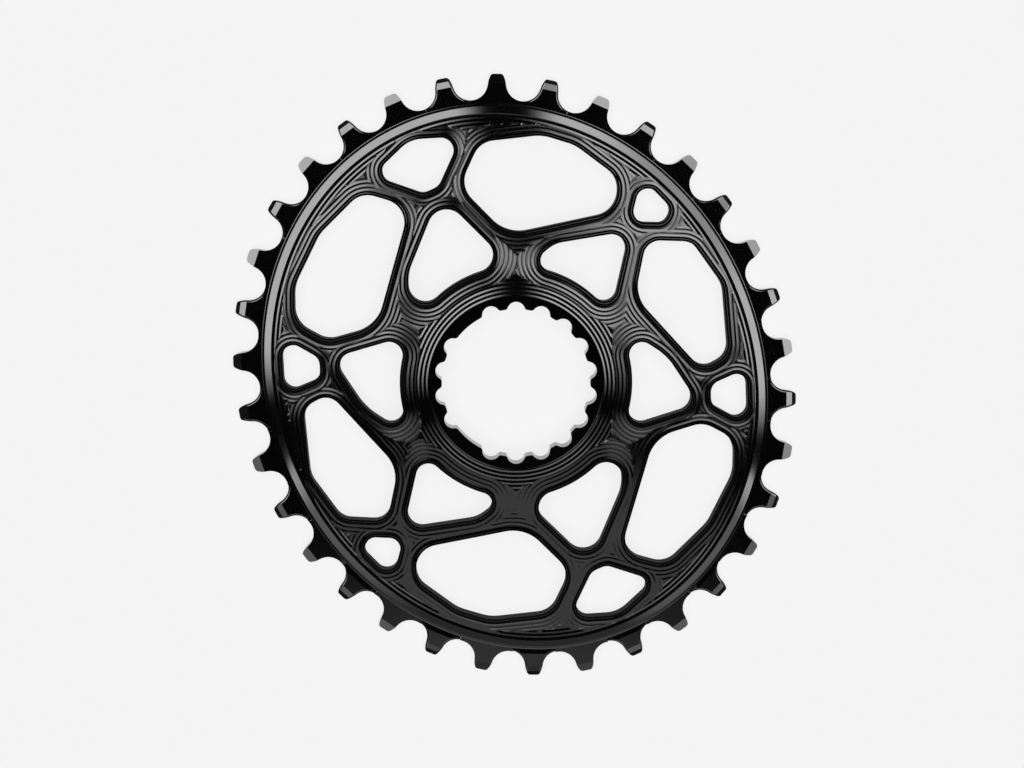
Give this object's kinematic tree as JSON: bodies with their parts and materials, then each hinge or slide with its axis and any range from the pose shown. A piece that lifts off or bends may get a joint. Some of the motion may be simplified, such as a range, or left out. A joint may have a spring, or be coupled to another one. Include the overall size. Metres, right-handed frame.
{
  "type": "chainring",
  "caption": "Oval one-piece bicycle chainring with alternating wide and narrow teeth, a dished web with windows, and a splined direct-mount bore.",
  "frame": {"origin": "on the bore axis at the back face of the tooth ring, on which the part lies", "axes": "+Z along the bore axis towards the front of the dished hub; the oval's long axis lies 113.7 degrees round from +X"},
  "size_m": [0.1362, 0.1468, 0.009],
  "materials": {
    "black_anodised": "black anodised, satin with polished machining marks"
  },
  "bodies": {
    "root": {"chainring": "black_anodised"}
  },
  "joints": []
}
